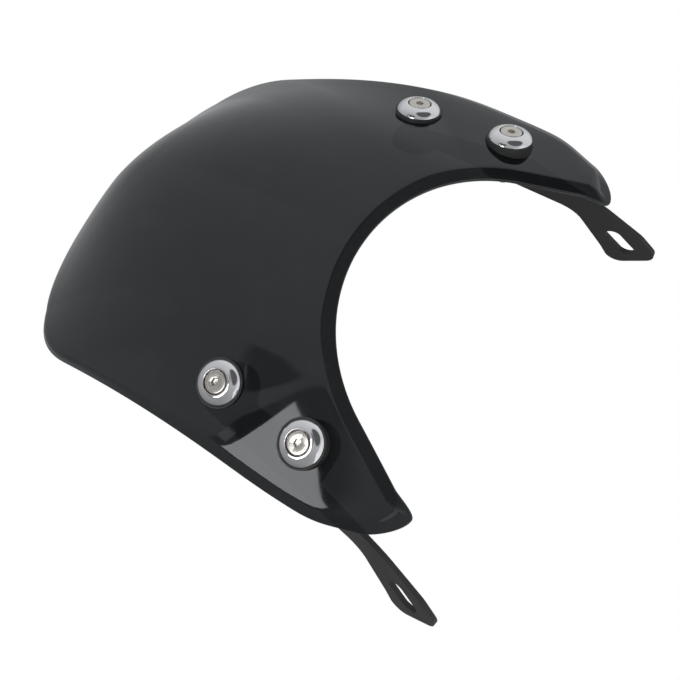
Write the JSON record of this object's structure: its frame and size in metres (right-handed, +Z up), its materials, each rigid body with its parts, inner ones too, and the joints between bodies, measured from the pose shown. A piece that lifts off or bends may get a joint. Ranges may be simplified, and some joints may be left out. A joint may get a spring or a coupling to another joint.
{
  "type": "headlight cowl",
  "caption": "Smoked moulded dome that stands over a round motorbike headlight, on two folded steel brackets with slotted feet that bolt beside the lamp.",
  "frame": {"origin": "centre of the round part of the lamp cut-out, on the middle plane, level with the front of the cut-out's edge", "axes": "-Y to the front of the motorbike, +Z up, +X to the right as seen from the front"},
  "size_m": [0.267, 0.176, 0.312],
  "materials": {
    "smoked_plastic": "glossy dark smoke, moulded",
    "black_bracket": "satin black powder coat",
    "bright_cup": "mirror polished",
    "screw_steel": "plain stainless",
    "rubber": "matt black",
    "spacer_rubber": "matt black",
    "zinc_nut": "zinc plated"
  },
  "bodies": {
    "root": {"cowl_shell": "smoked_plastic", "right_bracket": "black_bracket", "left_bracket": "black_bracket", "right_upper_cup_washer": "bright_cup", "right_lower_cup_washer": "bright_cup", "left_upper_cup_washer": "bright_cup", "left_lower_cup_washer": "bright_cup", "right_upper_screw": "screw_steel", "right_lower_screw": "screw_steel", "left_upper_screw": "screw_steel", "left_lower_screw": "screw_steel", "right_upper_rubber_washer": "rubber", "right_lower_rubber_washer": "rubber", "left_upper_rubber_washer": "rubber", "left_lower_rubber_washer": "rubber", "right_upper_spacer": "spacer_rubber", "right_lower_spacer": "spacer_rubber", "left_upper_spacer": "spacer_rubber", "left_lower_spacer": "spacer_rubber", "right_upper_lock_nut": "zinc_nut", "right_lower_lock_nut": "zinc_nut", "left_upper_lock_nut": "zinc_nut", "left_lower_lock_nut": "zinc_nut"}
  },
  "joints": []
}
